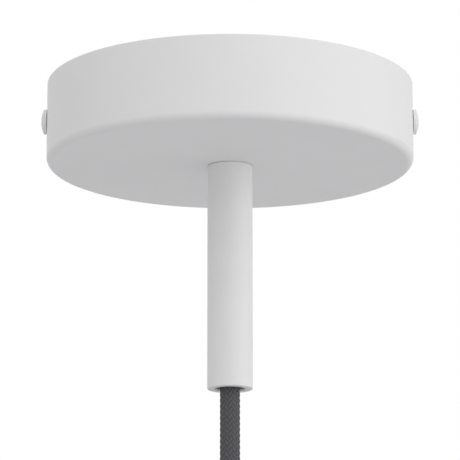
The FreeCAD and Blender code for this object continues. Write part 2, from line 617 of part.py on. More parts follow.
for name, side in (("front", "-"), ("back", "")):
    block_screw = screw(f"block_screw_{name}", "Sizes.block_screw_diameter",
                        "Sizes.block_base + Sizes.bracket_thickness - Sizes.bracket_top_gap",
                        "Sizes.block_screw_head", "Sizes.block_screw_head_height",
                        "Sizes.block_screw_head_height")
    driver_slot(block_screw, "Sizes.block_screw_head", "Sizes.block_screw_head_height")
    place(block_screw, x="Sizes.block_offset", y=f"{side}Sizes.block_pitch / 2", z=BLOCK_BASE,
          axis=Vector(1, 0, 0), turn=180.0)


# Earth screw and its toothed washer, under the bracket

COLLAR_END = f"({UNDERSIDE} - Sizes.collar_height)"
EARTH_SEAT = f"({COLLAR_END} - Sizes.earth_washer_thickness)"

earth_washer = turned("earth_washer", (
    (f"{SCREW_BORE} + Sizes.thread_play", EARTH_SEAT),
    ("Sizes.earth_washer_diameter / 2", EARTH_SEAT),
    ("Sizes.earth_washer_diameter / 2", COLLAR_END),
    (f"{SCREW_BORE} + Sizes.thread_play", COLLAR_END),
))
tooth_gap = new_sketch(earth_washer, "XY_Plane", "ToothGap")
add_box(tooth_gap, "Sizes.earth_washer_diameter / 2", "0", "2 * Sizes.earth_tooth_depth",
        "Sizes.earth_washer_diameter * 3.14159 / (2 * Sizes.earth_tooth_count)")
first_gap = cut(earth_washer, tooth_gap)
teeth = earth_washer.newObject("PartDesign::PolarPattern", "Teeth")
teeth.Originals = [first_gap]
teeth.Axis = (tooth_gap, ["N_Axis"])
teeth.Angle = 360.0
teeth.setExpression("Occurrences", "Sizes.earth_tooth_count")
earth_washer.Tip = teeth
place(earth_washer, x="-Sizes.earth_offset")

earth_screw = screw("earth_screw", "Sizes.screw_diameter",
                    "Sizes.earth_washer_thickness + Sizes.collar_height + Sizes.bracket_thickness"
                    " - Sizes.bracket_top_gap",
                    "Sizes.earth_head", "Sizes.earth_head_height", "Sizes.earth_head_edge")
cross_recess(earth_screw, "Sizes.earth_head_height")
place(earth_screw, x="-Sizes.earth_offset", z=EARTH_SEAT, axis=Vector(1, 0, 0), turn=180.0)


# Cord and cores
# Plain round solids along straight runs joined by tangent arcs.

def bent_run(points, bends):
    """Wire through the points, with an arc at each inner point where the run turns. A radius gets
    smaller where the two straight stretches leave no room for it."""
    edges = []
    start = points[0]
    for corner, following, radius in zip(points[1:-1], points[2:], bends):
        before, after = start - corner, following - corner
        half = before.getAngle(after) / 2
        if half > math.radians(89.9):
            continue
        radius = min(radius, 0.9 * min(before.Length, after.Length) * math.tan(half))
        before.normalize()
        after.normalize()
        tangent = radius / math.tan(half)
        middle = (before + after).normalize() * (radius / math.sin(half) - radius)
        entry, leave = corner + before * tangent, corner + after * tangent
        edges.append(Part.LineSegment(start, entry).toShape())
        edges.append(Part.Arc(entry, corner + middle, leave).toShape())
        start = leave
    edges.append(Part.LineSegment(start, points[-1]).toShape())
    return Part.Wire(edges)


def round_run(label, radius, points, bends=()):
    """Round solid of one radius along a run. The volume is compared with section times length."""
    path = bent_run(points, bends)
    ring = Part.Wire(Part.Circle(points[0], points[1] - points[0], radius).toShape())
    solid = path.makePipeShell([ring], True, True)
    length = path.Length
    if abs(solid.Volume / (math.pi * radius**2 * length) - 1) > 0.01:
        raise ValueError(f"{label} has the wrong volume")
    print(f"{label}: {length:.1f} mm long, bend radii {[round(bend, 1) for bend in bends]}")
    run = doc.addObject("Part::Feature", label)
    run.Label = label
    run.Shape = solid
    run.Placement = Placement()
    parts.append(run)


def round_bar(label, radius, length, x="0", y="0", z="0", axis=Vector(0, 0, 1), turn=0.0):
    """Straight round bar from its own origin along its Z axis."""
    bar = doc.addObject("Part::Cylinder", label)
    bar.Label = label
    bar.setExpression("Radius", radius)
    bar.setExpression("Height", length)
    place(bar, x, y, z, axis, turn)
    parts.append(bar)


CORD_RADIUS = "Sizes.cord_diameter / 2"
CORD_START = f"({TUBE_MOUTH} + Sizes.cord_start_depth)"
CORD_END = f"({TUBE_MOUTH} - Sizes.cord_tail)"
BLOCK_FACE = "(Sizes.block_offset - Sizes.block_width / 2)"
CLAMP_FACE = "(Sizes.block_offset - Sizes.clamp_length / 2)"

round_bar("cord_inside", CORD_RADIUS, f"{GRIP_TOP} - {CORD_START}", z=CORD_START)
round_bar("cord_hanging", CORD_RADIUS, f"{CORD_START} - {CORD_END}", z=CORD_END)

for pole in POLES:
    angle = math.radians(CORE_ANGLES[pole])
    x = number("Sizes.core_circle") * math.cos(angle)
    y = number("Sizes.core_circle") * math.sin(angle)
    entry_y, entry_z = number(POLE_Y[pole]), number(CLAMP_AXIS)
    points = [
        Vector(x, y, number(GRIP_TOP)),
        Vector(x, y, number(f"{GRIP_TOP} + Sizes.core_rise")),
        Vector(number(f"{BLOCK_FACE} - Sizes.core_entry_run"), entry_y, entry_z),
        Vector(number(CLAMP_FACE), entry_y, entry_z),
    ]
    bends = [number("Sizes.core_rise_bend"), number("Sizes.core_entry_bend")]
    round_run(f"core_{pole}", number("Sizes.core_diameter / 2"), points, bends)
    round_bar(f"ferrule_{pole}", "Sizes.ferrule_diameter / 2", "Sizes.ferrule_length",
              x=CLAMP_FACE, y=POLE_Y[pole], z=CLAMP_AXIS, axis=Vector(0, 1, 0), turn=90.0)

sleeve_inside = f"{CORD_RADIUS} + Sizes.sleeve_play"
sleeve_outside = f"{sleeve_inside} + Sizes.sleeve_wall"
turned("cord_end_sleeve", (
    (sleeve_inside, f"{CORD_END} + Sizes.sleeve_grip"),
    (sleeve_outside, f"{CORD_END} + Sizes.sleeve_grip"),
    (sleeve_outside, CORD_END),
    ("Sizes.sleeve_nose_diameter / 2", f"{CORD_END} - Sizes.sleeve_nose"),
    ("Sizes.sleeve_nose_diameter / 2 - Sizes.sleeve_wall", f"{CORD_END} - Sizes.sleeve_nose"),
    (sleeve_inside, CORD_END),
))

for pole in POLES:
    turn = Rotation(Vector(0, 0, 1), CORE_ANGLES[pole])
    splay = math.radians(number("Sizes.end_core_splay"))
    lean = Vector(math.sin(splay), 0, -math.cos(splay))
    top = Vector(number("Sizes.core_circle"), 0, number(CORD_END))
    knee = top - Vector(0, 0, number("Sizes.end_core_straight"))
    tip = knee + lean * number("Sizes.end_core_length - Sizes.end_core_straight")
    route = [turn.multVec(point) for point in (top, knee, tip)]
    round_run(f"end_core_{pole}", number("Sizes.core_diameter / 2"), route,
              [number("Sizes.end_core_bend")])
    far = turn.multVec(tip + lean * number("Sizes.ferrule_length"))
    round_run(f"end_ferrule_{pole}", number("Sizes.ferrule_diameter / 2"), [route[-1], far])


# Checks and files

doc.recompute()
for item in doc.Objects:
    if "Invalid" in item.State or "Error" in item.State:
        raise ValueError(f"{item.Label} did not build: {item.State}")
os.makedirs("parts", exist_ok=True)
for part in parts:
    if part.Shape.isNull() or not part.Shape.isValid():
        raise ValueError(f"{part.Label} has no valid shape")
for part in parts:
    part.Shape.exportStep(f"parts/{part.Label}.step")
print(f"{len(parts)} parts written")
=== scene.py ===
import math

import bpy
import numpy as np
from mathutils import Matrix, Vector


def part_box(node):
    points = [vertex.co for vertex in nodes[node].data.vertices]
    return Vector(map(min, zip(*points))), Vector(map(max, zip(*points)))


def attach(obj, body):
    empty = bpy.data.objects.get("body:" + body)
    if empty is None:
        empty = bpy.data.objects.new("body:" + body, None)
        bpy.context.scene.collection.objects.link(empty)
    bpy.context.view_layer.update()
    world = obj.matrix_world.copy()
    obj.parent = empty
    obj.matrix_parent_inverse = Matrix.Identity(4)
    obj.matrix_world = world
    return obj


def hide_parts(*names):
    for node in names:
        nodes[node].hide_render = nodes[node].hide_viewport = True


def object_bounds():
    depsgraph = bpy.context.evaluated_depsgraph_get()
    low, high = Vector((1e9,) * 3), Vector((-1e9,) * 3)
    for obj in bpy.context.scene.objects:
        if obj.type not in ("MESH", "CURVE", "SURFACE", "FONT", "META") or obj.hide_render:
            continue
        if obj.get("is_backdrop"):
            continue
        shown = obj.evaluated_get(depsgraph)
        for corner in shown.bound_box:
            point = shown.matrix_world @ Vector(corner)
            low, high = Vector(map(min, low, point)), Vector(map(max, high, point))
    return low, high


# Ceiling rose with a cord tube, dressed on its CAD frame
# Metres. The ceiling plane is z = 0, the side screws point along X and the cord hangs down.

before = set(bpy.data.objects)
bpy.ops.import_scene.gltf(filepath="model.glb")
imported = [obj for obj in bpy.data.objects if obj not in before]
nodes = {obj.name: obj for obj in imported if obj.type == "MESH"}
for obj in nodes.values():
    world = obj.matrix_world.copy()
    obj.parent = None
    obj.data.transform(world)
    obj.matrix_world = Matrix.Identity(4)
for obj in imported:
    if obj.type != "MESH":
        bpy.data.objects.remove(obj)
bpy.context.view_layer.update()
bpy.ops.object.select_all(action="DESELECT")
MM = 0.001


# Studio
# A long lens looks up at the rose from nearly a metre away. Broad soft lamps from the right, the
# front and above shape the white cup, with a weak one behind it, and the pale floor lies a room's
# height below.

def linear(colour):
    """Linear RGBA of an sRGB hex colour."""
    levels = [int(colour[start:start + 2], 16) / 255 for start in (1, 3, 5)]
    return [*(v / 12.92 if v <= 0.04045 else ((v + 0.055) / 1.055) ** 2.4 for v in levels), 1.0]


def add_node(tree, kind, inputs=None, **settings):
    """Add a node with its settings. Each input gets a plain value or a link from a socket."""
    node = tree.nodes.new(kind)
    for name, value in settings.items():
        setattr(node, name, value)
    for socket, value in (inputs or {}).items():
        if isinstance(value, bpy.types.NodeSocket):
            tree.links.new(value, node.inputs[socket])
        else:
            node.inputs[socket].default_value = value
    return node


scene = bpy.context.scene
scene.view_settings.view_transform = "Standard"

# Place, upward tilt and lens that fit the rose's outline in the photo.
CAMERA_PLACE = (0, -0.94, -0.26995)
TILT_DEGREES = 13.262
LENS, SENSOR = 232.1, 36.0
bpy.ops.object.camera_add(location=CAMERA_PLACE)
camera = bpy.context.object
camera.rotation_euler = (math.radians(90 + TILT_DEGREES), 0, 0)
camera.data.lens = LENS
camera.data.sensor_width = SENSOR
camera.data.clip_start = 0.01
scene.camera = camera

ROSE_MIDDLE = Vector((0, 0, -0.04))
# Each lamp's place, its width in metres and its power in watts.
LAMPS = {
    "right": ((1.576, -0.278, -0.04), 1.0, 5.4),
    "front": ((0.8, -1.386, -0.04), 1.0, 2.4),
    "high": ((0.0, -1.39, 0.76), 1.0, 3.2),
    "top": ((0.1, -0.3, 1.6), 1.4, 5.6),
    "back": ((-0.9, 1.4, 0.3), 1.2, 1.2),
}
for name, (spot, width, power) in LAMPS.items():
    bpy.ops.object.light_add(type="AREA", location=spot)
    lamp = bpy.context.object
    lamp.name = f"lamp_{name}"
    lamp.rotation_euler = (ROSE_MIDDLE - lamp.location).to_track_quat("-Z", "Y").to_euler()
    lamp.data.size = width
    lamp.data.energy = power
    lamp.visible_camera = False

AMBIENT = 0.625
world = bpy.data.worlds.new("studio")
world.use_nodes = True
scene.world = world
tree = world.node_tree
tree.nodes.clear()
light_path = add_node(tree, "ShaderNodeLightPath")
camera_or_gloss = add_node(tree, "ShaderNodeMath", {
    0: light_path.outputs["Is Camera Ray"], 1: light_path.outputs["Is Glossy Ray"],
}, operation="MAXIMUM")
seen = add_node(tree, "ShaderNodeMath", {
    0: camera_or_gloss.outputs[0], 1: light_path.outputs["Is Transmission Ray"],
}, operation="MAXIMUM")
strength = add_node(tree, "ShaderNodeMapRange", {
    "Value": seen.outputs[0], "To Min": AMBIENT, "To Max": 1.0,
})
background = add_node(tree, "ShaderNodeBackground", {
    "Color": linear("#FFFFFF"), "Strength": strength.outputs[0],
})
add_node(tree, "ShaderNodeOutputWorld", {"Surface": background.outputs[0]})

ROOM_HEIGHT, FLOOR_SIZE = 2.4, 24
FLOOR_GLOW = 0.45
bpy.ops.mesh.primitive_plane_add(size=FLOOR_SIZE, location=(0, 0, -ROOM_HEIGHT))
floor = bpy.context.object
floor.name = "floor"
paper = bpy.data.materials.new("pale_floor")
paper.use_nodes = True
tree = paper.node_tree
tree.nodes.clear()
light_path = add_node(tree, "ShaderNodeLightPath")
glow = add_node(tree, "ShaderNodeMapRange", {
    "Value": light_path.outputs["Is Camera Ray"], "To Min": 0.0, "To Max": FLOOR_GLOW,
})
shader = add_node(tree, "ShaderNodeBsdfPrincipled", {
    "Base Color": linear("#F1F1F3"), "Roughness": 0.9,
    "Emission Color": linear("#FFFFFF"), "Emission Strength": glow.outputs[0],
})
add_node(tree, "ShaderNodeOutputMaterial", {"Surface": shader.outputs[0]})
floor.data.materials.append(paper)
floor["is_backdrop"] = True


# Ceiling bracket
# Strip steel, punched, bent and hot-dip galvanised. Two ceiling screws hold it, and everything else
# hangs from it.

def new_material(name, inputs):
    """Material with one Principled shader, its node tree, and the object's own coordinates."""
    material = bpy.data.materials.new(name)
    material.use_nodes = True
    nodes_here = material.node_tree
    nodes_here.nodes.clear()
    surface = add_node(nodes_here, "ShaderNodeBsdfPrincipled", inputs)
    add_node(nodes_here, "ShaderNodeOutputMaterial", {"Surface": surface.outputs[0]})
    spot = add_node(nodes_here, "ShaderNodeTexCoord").outputs["Object"]
    return material, nodes_here, surface, spot


def dress(material, *names):
    """Give CAD nodes one material."""
    for name in names:
        mesh = nodes[name].data
        mesh.materials.clear()
        mesh.materials.append(material)


# Hot-dip zinc: grey metal with a spangle of flat crystals a few millimetres wide, each with its own
# brightness, and a faint haze over them.
SPANGLE = 3.5 * MM
HAZE_GRAIN = 0.6 * MM
galvanised, tree, shader, spot = new_material("galvanised_steel", {"Metallic": 1.0})
crystals = add_node(tree, "ShaderNodeTexVoronoi", {"Vector": spot, "Scale": 1 / SPANGLE})
haze = add_node(tree, "ShaderNodeTexNoise", {
    "Vector": spot, "Scale": 1 / HAZE_GRAIN, "Detail": 4.0,
})
tone = add_node(tree, "ShaderNodeMix", {
    "Factor": crystals.outputs["Color"], "A": linear("#A9ACAE"), "B": linear("#C6C9CA"),
}, data_type="RGBA")
dull = add_node(tree, "ShaderNodeMapRange", {
    "Value": haze.outputs["Fac"], "To Min": 0.34, "To Max": 0.55,
})
grain = add_node(tree, "ShaderNodeBump", {
    "Height": haze.outputs["Fac"], "Strength": 0.15, "Distance": 0.02 * MM,
})
tree.links.new(tone.outputs["Result"], shader.inputs["Base Color"])
tree.links.new(dull.outputs[0], shader.inputs["Roughness"])
tree.links.new(grain.outputs[0], shader.inputs["Normal"])
dress(galvanised, "ceiling_bracket")


# Terminal block and small fittings
# One moulding of natural nylon holds three brass clamps with slotted zinc-plated screws. The cord
# grip and its clamping screw are nylon too, and the nipple, nut and washers are plated steel.

# Natural nylon: milky and slightly see-through, with a soft gloss from the polished mould.
NYLON_CLOUD = 5 * MM
nylon, tree, shader, spot = new_material("natural_nylon", {
    "Roughness": 0.38, "IOR": 1.53, "Subsurface Weight": 0.25, "Subsurface Scale": 0.8 * MM,
    "Subsurface Radius": (1.0, 0.9, 0.75),
})
cloud = add_node(tree, "ShaderNodeTexNoise", {
    "Vector": spot, "Scale": 1 / NYLON_CLOUD, "Detail": 2.0,
})
tone = add_node(tree, "ShaderNodeMix", {
    "Factor": cloud.outputs["Fac"], "A": linear("#DFDACC"), "B": linear("#EEEBE0"),
}, data_type="RGBA")
ripple = add_node(tree, "ShaderNodeBump", {
    "Height": cloud.outputs["Fac"], "Strength": 0.2, "Distance": 0.05 * MM,
})
tree.links.new(tone.outputs["Result"], shader.inputs["Base Color"])
tree.links.new(ripple.outputs[0], shader.inputs["Normal"])
dress(nylon, "terminal_block", "cord_grip", "cord_grip_screw")

# Machined brass: warm yellow metal with fine turning marks.
TURNING_MARK = 0.25 * MM
brass, tree, shader, spot = new_material("machined_brass", {"Metallic": 1.0})
marks = add_node(tree, "ShaderNodeTexNoise", {
    "Vector": spot, "Scale": 1 / TURNING_MARK, "Detail": 3.0,
})
tone = add_node(tree, "ShaderNodeMix", {
    "Factor": marks.outputs["Fac"], "A": linear("#B98F45"), "B": linear("#D9B56A"),
}, data_type="RGBA")
dull = add_node(tree, "ShaderNodeMapRange", {
    "Value": marks.outputs["Fac"], "To Min": 0.22, "To Max": 0.4,
})
tree.links.new(tone.outputs["Result"], shader.inputs["Base Color"])
tree.links.new(dull.outputs[0], shader.inputs["Roughness"])
POLES = ("brown", "blue", "earth")
dress(brass, *(f"terminal_clamp_{pole}" for pole in POLES))

# Bright zinc plate on turned and pressed steel: cool pale grey, glossy, with faint cloudy patches.
ZINC_PATCH = 2 * MM
zinc, tree, shader, spot = new_material("bright_zinc_plate", {"Metallic": 1.0})
patches = add_node(tree, "ShaderNodeTexNoise", {
    "Vector": spot, "Scale": 1 / ZINC_PATCH, "Detail": 5.0,
})
tone = add_node(tree, "ShaderNodeMix", {
    "Factor": patches.outputs["Fac"], "A": linear("#B4B8BC"), "B": linear("#D3D6D9"),
}, data_type="RGBA")
dull = add_node(tree, "ShaderNodeMapRange", {
    "Value": patches.outputs["Fac"], "To Min": 0.2, "To Max": 0.38,
})
tree.links.new(tone.outputs["Result"], shader.inputs["Base Color"])
tree.links.new(dull.outputs[0], shader.inputs["Roughness"])
dress(zinc, "block_screw_front", "block_screw_back", "earth_screw", "earth_washer", "floor_washer",
      "lock_nut", "threaded_nipple",
      *(f"terminal_screw_{pole}_{side}" for pole in POLES for side in ("cord", "mains")))


# Canopy cup and cord tube
# The cup is deep-drawn from steel sheet and the tube is turned from bar. Both are powder-coated
# white, and the tube is screwed up against the cup.

# Polyester powder coat: a matt white film with a faint orange peel and hardly any gloss.
PEEL = 0.9 * MM
PAINT_FLOW = 14 * MM
coat, tree, shader, spot = new_material("white_powder_coat", {"Roughness": 0.62})
peel = add_node(tree, "ShaderNodeTexNoise", {"Vector": spot, "Scale": 1 / PEEL, "Detail": 2.0})
flow = add_node(tree, "ShaderNodeTexNoise", {
    "Vector": spot, "Scale": 1 / PAINT_FLOW, "Detail": 1.0,
})
tone = add_node(tree, "ShaderNodeMix", {
    "Factor": flow.outputs["Fac"], "A": linear("#E6E6E6"), "B": linear("#E9E9E9"),
}, data_type="RGBA")
skin = add_node(tree, "ShaderNodeBump", {
    "Height": peel.outputs["Fac"], "Strength": 0.25, "Distance": 0.02 * MM,
})
tree.links.new(tone.outputs["Result"], shader.inputs["Base Color"])
tree.links.new(skin.outputs[0], shader.inputs["Normal"])
dress(coat, "canopy_cup", "cord_tube")


# Textile cord
# Three cores under a braid of dark grey rayon, laid by sixteen carriers each way round, over two
# and under two. The upper length runs inside the tube up to the grip. The lower one hangs taut from
# the tube, as under a lamp's weight, and ends below the picture.

CORD_DIAMETER = 6.45 * MM
CORD_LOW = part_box("cord_hanging")[0].z
# Control points down the middle of each length.
HANGING_ROUTE = ((0, 0, -0.095), (0, 0, -0.118), (0, 0, -0.141), (0, 0, -0.164), (0, 0, -0.186))
INSIDE_ROUTE = ((0, 0, -0.013), (0, 0, -0.040), (0, 0, -0.068), (0, 0, -0.095))


def read_line(route, steps):
    """Evenly spaced points of the smooth line that a route's points control."""
    curve = bpy.data.curves.new("route", "CURVE")
    curve.dimensions = "3D"
    curve.resolution_u = 24
    spline = curve.splines.new("NURBS")
    spline.points.add(len(route) - 1)
    for point, place in zip(spline.points, route):
        point.co = (*place, 1.0)
    spline.order_u = 3
    spline.use_endpoint_u = True
    carrier = bpy.data.objects.new("route", curve)
    line_mesh = bpy.data.meshes.new_from_object(carrier)
    points = np.array([vertex.co[:] for vertex in line_mesh.vertices])
    bpy.data.objects.remove(carrier)
    bpy.data.curves.remove(curve)
    bpy.data.meshes.remove(line_mesh)
    run = np.concatenate([[0.0], np.cumsum(np.linalg.norm(np.diff(points, axis=0), axis=1))])
    wanted = np.linspace(0.0, run[-1], steps + 1)
    return np.column_stack([np.interp(wanted, run, points[:, axis]) for axis in range(3)])


def wrap_line(name, line, radii):
    """Closed skin round a line. radii has a row for each point of the line and a column for each
    step round it. The UV map goes once round in U and along the line in V."""
    rings, around = radii.shape
    along = np.gradient(line, axis=0)
    along /= np.linalg.norm(along, axis=1)[:, None]
    side = np.array([1.0, 0.0, 0.0]) if abs(along[0, 0]) < 0.7 else np.array([0.0, 1.0, 0.0])
    angles = np.linspace(0.0, 2 * math.pi, around, endpoint=False)
    points = []
    for centre, ahead, ring in zip(line, along, radii):
        side = side - ahead * (side @ ahead)
        side /= np.linalg.norm(side)
        across = np.cross(ahead, side)
        points.append(centre + ring[:, None] * (np.outer(np.cos(angles), side)
                                                + np.outer(np.sin(angles), across)))
    points = np.concatenate(points)
    row, column = np.divmod(np.arange((rings - 1) * around), around)
    turned_on = (column + 1) % around
    faces = np.column_stack([row * around + column, row * around + turned_on,
                             (row + 1) * around + turned_on, (row + 1) * around + column])
    last = (rings - 1) * around
    caps = [list(range(around - 1, -1, -1)), list(range(last, last + around))]
    mesh = bpy.data.meshes.new(name)
    mesh.from_pydata(points.tolist(), [], faces.tolist() + caps)
    lap = mesh.uv_layers.new(name="lap")
    values = np.zeros((len(mesh.loops), 2))
    body_loops = len(faces) * 4
    values[:body_loops, 0] = (column[:, None] + np.array([0, 1, 1, 0])).ravel() / around
    values[:body_loops, 1] = (row[:, None] + np.array([0, 0, 1, 1])).ravel() / (rings - 1)
    lap.data.foreach_set("uv", values.ravel())
    mesh.shade_smooth()
    mesh.polygons[-1].use_smooth = mesh.polygons[-2].use_smooth = False
    piece = bpy.data.objects.new(name, mesh)
    scene.collection.objects.link(piece)
    return piece


CARRIERS = 16
STRAND_PITCH = 1.895 * MM
LAY = CARRIERS * STRAND_PITCH
BRAID_TURN = math.radians(-4.0)
STRAND_CROWN = 0.2 * MM
STRAND_WAVE = 0.12 * MM
BRAID_SWELL = 0.03 * MM
# How far the fibres' pattern moves on from each strand to the next, so that neighbours differ.
FIRST_STRAND_STEP, SECOND_STRAND_STEP = 7.3, 5.1


def braid(heights, angles):
    """For depths down the cord and angles round it: how far the upper strand stands below the
    braid's crown, how far each point lies across that strand from its middle and along it, and
    whether it is one of the strands laid clockwise."""
    depth, turn = np.meshgrid(heights, (angles + BRAID_TURN) / (2 * math.pi), indexing="ij")
    first = CARRIERS * (turn + depth / LAY)
    second = CARRIERS * (turn - depth / LAY)
    first_strand, second_strand = np.floor(first), np.floor(second)
    first_across = first - first_strand - 0.5
    second_across = second - second_strand - 0.5
    # Over two and under two: a strand's height repeats every four strands, and where the strands
    # laid one way are up, those laid the other way are down.
    first_level = (STRAND_WAVE * (np.cos((first_strand + second - 1) * math.pi / 2) - 1)
                   - STRAND_CROWN * (2 * first_across) ** 2)
    second_level = (STRAND_WAVE * (np.cos((second_strand + first - 3) * math.pi / 2) - 1)
                    - STRAND_CROWN * (2 * second_across) ** 2)
    clockwise = first_level >= second_level
    level = np.where(clockwise, first_level, second_level)
    across = np.where(clockwise, first_across, second_across)
    along = np.where(clockwise, second + FIRST_STRAND_STEP * first_strand,
                     first + SECOND_STRAND_STEP * second_strand)
    return level, across, along, clockwise


def braided(name, route, around, rings):
    """Piece of cord whose skin is its braid, with a UV map that follows each strand."""
    line = read_line(route, rings)
    heights = -line[:, 2]
    angles = np.linspace(0.0, 2 * math.pi, around, endpoint=False)
    level = braid(heights, angles)[0]
    piece = wrap_line(name, line, CORD_DIAMETER / 2 + BRAID_SWELL + level)
    mesh = piece.data
    step_down = heights[1] - heights[0]
    step_round = angles[1]
    middle_down = heights[:-1] + step_down / 2
    middle_round = angles + step_round / 2
    _, middle_across, middle_along, clockwise = braid(middle_down, middle_round)
    # A face's corners lie half a step down and half a step round from its middle.
    lean = np.where(clockwise, 1.0, -1.0) * step_down / LAY * CARRIERS / 2
    swing = step_round / (2 * math.pi) * CARRIERS / 2
    strand = mesh.uv_layers.new(name="strand")
    values = np.zeros((len(mesh.loops), 2))
    corners = ((-1, -1), (1, -1), (1, 1), (-1, 1))
    across = np.stack([middle_across + swing * a + lean * b for a, b in corners], axis=-1)
    along = np.stack([middle_along + swing * a - lean * b for a, b in corners], axis=-1)
    values[:across.size, 0] = along.ravel()
    values[:across.size, 1] = across.ravel()
    strand.data.foreach_set("uv", values.ravel())
    deep = mesh.attributes.new("depth", "FLOAT", "POINT")
    deep.data.foreach_set("value", (-level / (STRAND_CROWN + STRAND_WAVE)).ravel())
    return piece


# Rayon yarn: dark grey and slightly silky along its fibres. Each strand is a ribbon of parallel
# ends, a fifth of its width each, and painted shade darkens the creases between strands.
ENDS = 5
rayon, tree, shader, _ = new_material("rayon_braid", {
    "Roughness": 0.7, "Specular IOR Level": 0.2,
})
strand_map = add_node(tree, "ShaderNodeUVMap", uv_map="strand").outputs[0]
fibres = add_node(tree, "ShaderNodeMapping", {
    "Vector": strand_map, "Scale": (1.3, 4.0 * ENDS, 1.0),
})
streaks = add_node(tree, "ShaderNodeTexNoise", {
    "Vector": fibres.outputs[0], "Scale": 1.0, "Detail": 2.0,
}, noise_dimensions="2D")
# A wave texture has one band in each unit at a scale of pi / 10.
ends = add_node(tree, "ShaderNodeTexWave", {
    "Vector": strand_map, "Scale": math.pi * ENDS / 10,
}, bands_direction="Y")
depth = add_node(tree, "ShaderNodeAttribute", attribute_name="depth")
tone = add_node(tree, "ShaderNodeMix", {
    "Factor": streaks.outputs["Fac"], "A": linear("#4D4D4F"), "B": linear("#6A6A6D"),
}, data_type="RGBA")
# Painted shade: the deeper a point lies in the braid, the further its colour goes towards #26262A.
crease_shade = add_node(tree, "ShaderNodeMapRange", {
    "Value": depth.outputs["Fac"], "From Min": 0.25, "From Max": 1.0, "To Min": 0.0, "To Max": 0.75,
})
shaded = add_node(tree, "ShaderNodeMix", {
    "Factor": crease_shade.outputs[0], "A": tone.outputs["Result"], "B": linear("#26262A"),
}, data_type="RGBA")
pile = add_node(tree, "ShaderNodeMath", {
    0: streaks.outputs["Fac"], 1: ends.outputs["Fac"],
}, operation="ADD")
raised = add_node(tree, "ShaderNodeBump", {
    "Height": pile.outputs[0], "Strength": 0.5, "Distance": 0.05 * MM,
})
tree.links.new(shaded.outputs["Result"], shader.inputs["Base Color"])
tree.links.new(raised.outputs[0], shader.inputs["Normal"])

hanging = braided("textile_cord_hanging", HANGING_ROUTE, around=128, rings=576)
inside = braided("textile_cord_inside", INSIDE_ROUTE, around=96, rings=400)
for piece, node in ((hanging, "cord_hanging"), (inside, "cord_inside")):
    piece.data.materials.append(rayon)
    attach(piece, "rose")
    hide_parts(node)


# Cord's end
# A sleeve of black heat-shrink tube holds the braid's cut end, and the three cores leave it with
# crimped ferrules, ready for a lampholder.

# Shrunk polyolefin: black, satin, a little uneven where the braid prints through it.
WEAVE_PRINT = 1.2 * MM
shrunk, tree, shader, spot = new_material("black_shrink_tube", {"Roughness": 0.42, "IOR": 1.5})
weave = add_node(tree, "ShaderNodeTexNoise", {
    "Vector": spot, "Scale": 1 / WEAVE_PRINT, "Detail": 2.0,
})
tone = add_node(tree, "ShaderNodeMix", {
    "Factor": weave.outputs["Fac"], "A": linear("#18181A"), "B": linear("#242427"),
}, data_type="RGBA")
print_through = add_node(tree, "ShaderNodeBump", {
    "Height": weave.outputs["Fac"], "Strength": 0.3, "Distance": 0.08 * MM,
})
tree.links.new(tone.outputs["Result"], shader.inputs["Base Color"])
tree.links.new(print_through.outputs[0], shader.inputs["Normal"])
SLEEVE_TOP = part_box("cord_end_sleeve")[1].z
SLEEVE_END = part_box("cord_end_sleeve")[0].z
SLEEVE_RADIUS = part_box("cord_end_sleeve")[1].x
SLEEVE_NOSE_RADIUS = 3.1 * MM
SLEEVE_RINGS, SLEEVE_AROUND = 120, 64
# Share of the braid's relief that shows through the sleeve.
BRAID_PRINT = 0.4
line = read_line(((0, 0, SLEEVE_TOP), (0, 0, CORD_LOW), (0, 0, SLEEVE_END)), SLEEVE_RINGS)
angles = np.linspace(0.0, 2 * math.pi, SLEEVE_AROUND, endpoint=False)
relief = BRAID_PRINT * braid(-line[:, 2], angles)[0]
nose = np.clip((CORD_LOW - line[:, 2]) / (CORD_LOW - SLEEVE_END), 0.0, 1.0)
nose = nose * nose * (3 - 2 * nose)
radii = (SLEEVE_RADIUS + relief) * (1 - nose)[:, None] + SLEEVE_NOSE_RADIUS * nose[:, None]
sleeve = wrap_line("shrink_sleeve", line, radii)
sleeve.data.materials.append(shrunk)
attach(sleeve, "rose")
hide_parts("cord_end_sleeve")


# Soft PVC insulation: even colour with the low gloss of an extruded skin.
INSULATION_PIT = 0.4 * MM
STRIPES = 2


def insulation(name, colour, stripe=None):
    """Insulation of one colour, or with a stripe of another on two opposite sides of the core."""
    material, here, surface, place = new_material(name, {
        "Base Color": linear(colour), "Roughness": 0.45,
    })
    pits = add_node(here, "ShaderNodeTexNoise", {"Vector": place, "Scale": 1 / INSULATION_PIT})
    wobble = add_node(here, "ShaderNodeBump", {
        "Height": pits.outputs["Fac"], "Strength": 0.15, "Distance": 0.02 * MM,
    })
    here.links.new(wobble.outputs[0], surface.inputs["Normal"])
    if stripe:
        lap = add_node(here, "ShaderNodeUVMap", uv_map="lap")
        turn = add_node(here, "ShaderNodeSeparateXYZ", {"Vector": lap.outputs[0]})
        swing = add_node(here, "ShaderNodeMath", {
            0: turn.outputs["X"], 1: 2 * math.pi * STRIPES,
        }, operation="MULTIPLY")
        side = add_node(here, "ShaderNodeMath", {0: swing.outputs[0]}, operation="SINE")
        edge = add_node(here, "ShaderNodeMath", {
            0: side.outputs[0], 1: 0.0,
        }, operation="GREATER_THAN")
        shade = add_node(here, "ShaderNodeMix", {
            "Factor": edge.outputs[0], "A": linear(colour), "B": linear(stripe),
        }, data_type="RGBA")
        here.links.new(shade.outputs["Result"], surface.inputs["Base Color"])
    return material


